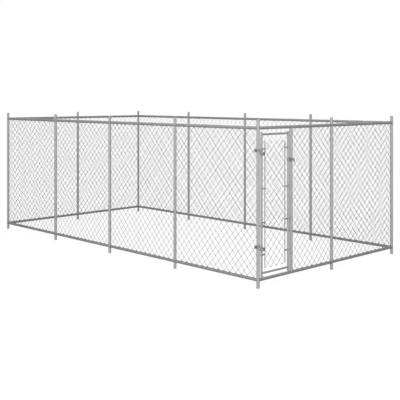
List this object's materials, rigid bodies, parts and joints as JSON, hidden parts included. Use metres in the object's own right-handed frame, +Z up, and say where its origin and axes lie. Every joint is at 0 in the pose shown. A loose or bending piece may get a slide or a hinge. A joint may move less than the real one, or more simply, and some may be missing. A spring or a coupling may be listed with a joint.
{
  "type": "outdoor dog kennel run",
  "caption": "Rectangular open-topped dog run of round galvanised posts and rails with chain-link nets, and a narrow hinged gate with a lift-up fork latch beside one corner post.",
  "frame": {"origin": "on the ground at the centre of the rectangle of posts", "axes": "+Z up, +X along the long walls towards the wall with the gate, +Y along the short walls away from the gate's corner"},
  "size_m": [5.8412, 2.9843, 2],
  "materials": {
    "galvanised_tube": "hot-dip galvanised, satin grey with faint spangle",
    "galvanised_wire": "galvanised wire, satin",
    "zinc_plated_hardware": "zinc-plated, darker grey"
  },
  "bodies": {
    "frame": {"front_post_1": "galvanised_tube", "front_post_2": "galvanised_tube", "front_post_3": "galvanised_tube", "front_post_4": "galvanised_tube", "right_post_1": "galvanised_tube", "right_post_2": "galvanised_tube", "back_post_1": "galvanised_tube", "back_post_2": "galvanised_tube", "back_post_3": "galvanised_tube", "back_post_4": "galvanised_tube", "left_post_1": "galvanised_tube", "left_post_2": "galvanised_tube", "front_bottom_rails_1": "galvanised_tube", "front_top_rails_1": "galvanised_tube", "front_bottom_rails_2": "galvanised_tube", "front_top_rails_2": "galvanised_tube", "right_bottom_rails": "galvanised_tube", "right_top_rails": "galvanised_tube", "back_bottom_rails_1": "galvanised_tube", "back_top_rails_1": "galvanised_tube", "back_bottom_rails_2": "galvanised_tube", "back_top_rails_2": "galvanised_tube", "left_bottom_rails": "galvanised_tube", "left_top_rails": "galvanised_tube", "front_net_1": "galvanised_wire", "front_net_2": "galvanised_wire", "front_net_3": "galvanised_wire", "front_net_4": "galvanised_wire", "right_net_1": "galvanised_wire", "right_net_2": "galvanised_wire", "back_net_1": "galvanised_wire", "back_net_2": "galvanised_wire", "back_net_3": "galvanised_wire", "back_net_4": "galvanised_wire", "left_net_1": "galvanised_wire", "left_net_2": "galvanised_wire", "front_net_ties": "galvanised_wire", "right_net_ties": "galvanised_wire", "back_net_ties": "galvanised_wire", "left_net_ties": "galvanised_wire", "post_caps": "galvanised_tube", "rail_spigots": "galvanised_tube", "rail_screws": "zinc_plated_hardware", "gate_jamb": "galvanised_tube", "hinge_post_clamps": "zinc_plated_hardware", "hinge_bolts": "zinc_plated_hardware", "post_clamp_bolts": "zinc_plated_hardware"},
    "gate": {"gate_hinge_upright": "galvanised_tube", "gate_latch_upright": "galvanised_tube", "gate_top_crossbar": "galvanised_tube", "gate_bottom_crossbar": "galvanised_tube", "gate_net": "galvanised_wire", "gate_tension_bars": "galvanised_tube", "gate_tension_bands": "zinc_plated_hardware", "gate_band_bolts": "zinc_plated_hardware", "hinge_gate_clamps": "zinc_plated_hardware", "gate_clamp_bolts": "zinc_plated_hardware", "latch_collar": "zinc_plated_hardware"},
    "fork": {"latch_fork": "zinc_plated_hardware", "latch_pivot_bolt": "zinc_plated_hardware"}
  },
  "joints": [
    {"name": "gate_swing", "type": "hinge", "parent": "frame", "child": "gate", "pos_m": [2.918, -1.41675, 1.0555], "axis": [0, 0, -1], "range_deg": [0, 150]},
    {"name": "latch_lift", "type": "hinge", "parent": "gate", "child": "fork", "pos_m": [2.884, -0.875, 1.5], "axis": [1, 0, 0], "range_deg": [0, 100]}
  ]
}
